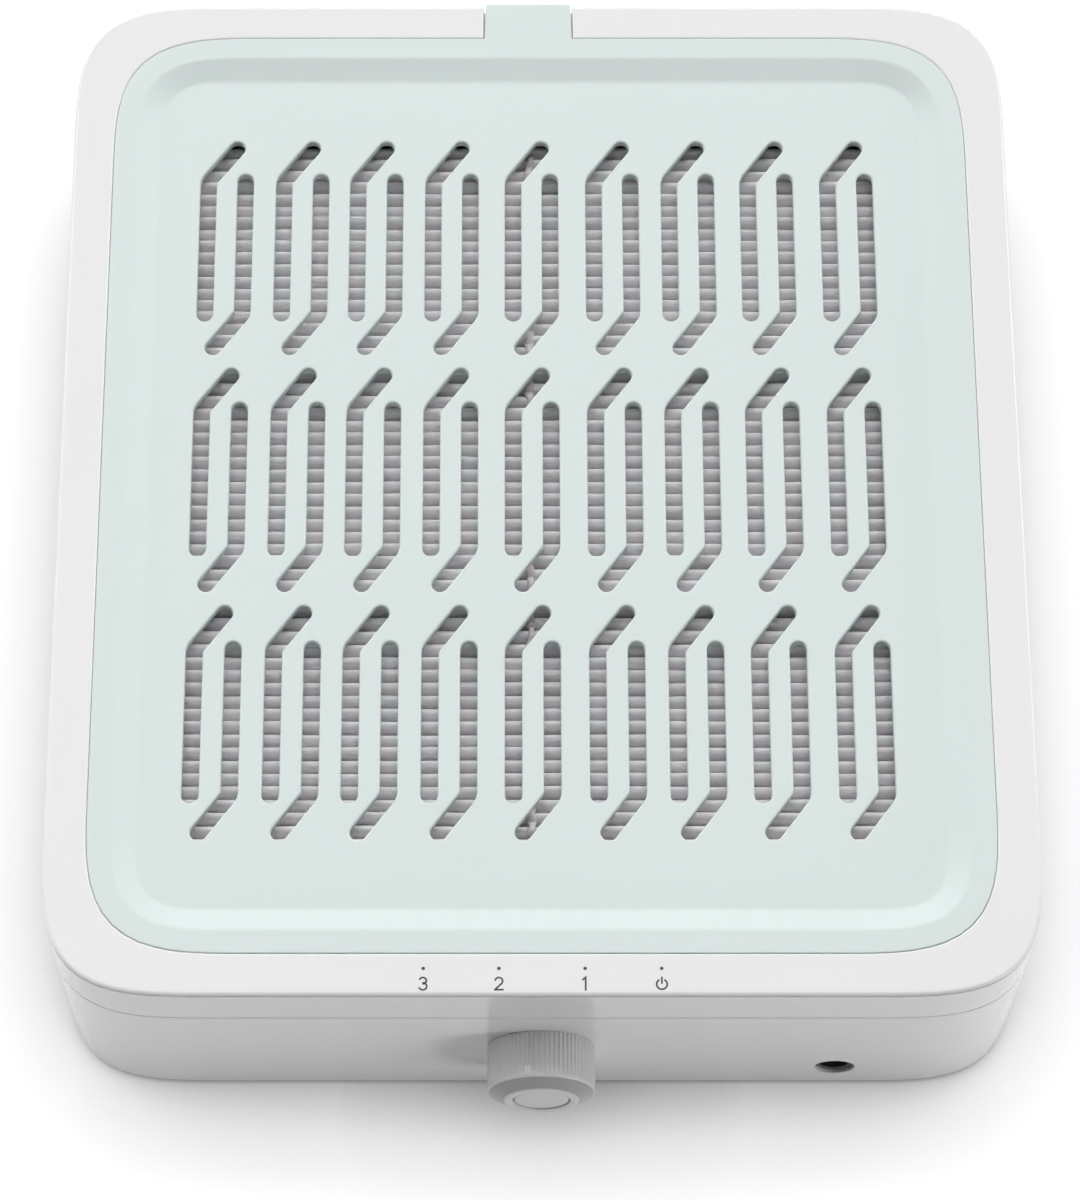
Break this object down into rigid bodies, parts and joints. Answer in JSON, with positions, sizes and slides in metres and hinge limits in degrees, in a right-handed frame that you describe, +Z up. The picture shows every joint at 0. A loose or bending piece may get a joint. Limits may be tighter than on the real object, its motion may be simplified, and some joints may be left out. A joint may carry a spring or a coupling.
{
  "type": "nail dust collector",
  "caption": "Table-top nail dust collector: white housing, slotted mint tray over a pleated filter, centrifugal fan below, rotary speed knob and power socket in front.",
  "frame": {"origin": "on the table, under the middle of the whole outline from the knob's face to the lift tab's tip", "axes": "+X to the user's right, +Y away from the user towards the lift tab, +Z up from the table"},
  "size_m": [0.23, 0.275, 0.068],
  "materials": {
    "white_shell": "smooth, softly glossy",
    "mint_tray": "satin",
    "knob_grey": "satin",
    "pointer_white": "smooth",
    "filter_fleece": "non-woven, folded",
    "filter_frame": "moulded",
    "seal_foam": "open-cell foam",
    "glue": "dried bead",
    "inner_plastic": "moulded",
    "impeller_plastic": "moulded",
    "steel": "bright zinc",
    "brass": "plain",
    "copper_wire": "enamelled",
    "ferrite": "sintered",
    "board_laminate": "solder mask",
    "phenolic": "pressed laminate",
    "black_plastic": "moulded",
    "white_nylon": "moulded",
    "lead_jacket": "soft jacket",
    "foot_rubber": "matt"
  },
  "bodies": {
    "housing": {"upper_shell": "white_shell", "lower_shell": "white_shell", "case_screw_1": "steel", "case_screw_2": "steel", "case_screw_3": "steel", "case_screw_4": "steel", "rubber_foot_1": "foot_rubber", "rubber_foot_2": "foot_rubber", "rubber_foot_3": "foot_rubber", "rubber_foot_4": "foot_rubber", "fan_deck": "inner_plastic", "fan_guard": "inner_plastic", "fan_housing": "inner_plastic", "deck_screw_1": "steel", "deck_screw_2": "steel", "deck_screw_3": "steel", "deck_screw_4": "steel", "fan_screw_1": "steel", "fan_screw_2": "steel", "fan_screw_3": "steel", "motor_base": "steel", "motor_bearing_lower": "steel", "motor_bearing_upper": "steel", "stator_core": "steel", "stator_winding": "copper_wire", "switch_body": "steel", "switch_washer": "steel", "switch_nut": "steel", "switch_wafer": "phenolic", "dc_jack_body": "black_plastic", "dc_jack_pin": "brass", "dc_jack_spring": "brass", "circuit_board": "board_laminate", "board_capacitor": "black_plastic", "board_coil": "copper_wire", "board_regulator": "black_plastic", "board_connector": "white_nylon", "board_screw_1": "steel", "board_screw_2": "steel", "power_lead": "lead_jacket", "switch_lead": "lead_jacket", "fan_lead": "lead_jacket"},
    "cover": {"grille_cover": "mint_tray"},
    "filter": {"filter_frame": "filter_frame", "filter_seal": "seal_foam", "filter_media": "filter_fleece", "filter_glue_bead": "glue"},
    "impeller": {"fan_impeller": "impeller_plastic", "rotor_cup": "steel", "rotor_magnet": "ferrite", "motor_shaft": "steel"},
    "knob": {"knob": "knob_grey", "knob_cap": "knob_grey", "knob_pointer": "pointer_white", "switch_shaft": "steel"}
  },
  "joints": [
    {"name": "knob_turn", "type": "hinge", "parent": "housing", "child": "knob", "pos_m": [0, -0.13, 0.0299], "axis": [0, -1, 0], "range_deg": [-60, 30]},
    {"name": "cover_lift", "type": "slide", "parent": "housing", "child": "cover", "axis": [0, 0, 1], "range_m": [0, 0.06]},
    {"name": "filter_lift", "type": "slide", "parent": "housing", "child": "filter", "axis": [0, 0, 1], "range_m": [0, 0.03]},
    {"name": "impeller_spin", "type": "hinge", "parent": "housing", "child": "impeller", "pos_m": [-0.004, 0.01235, 0.02], "axis": [0, 0, 1], "continuous": true}
  ],
  "couplings": [
    {"joint": "filter_lift", "follows": "cover_lift", "ratio": 0.5}
  ]
}
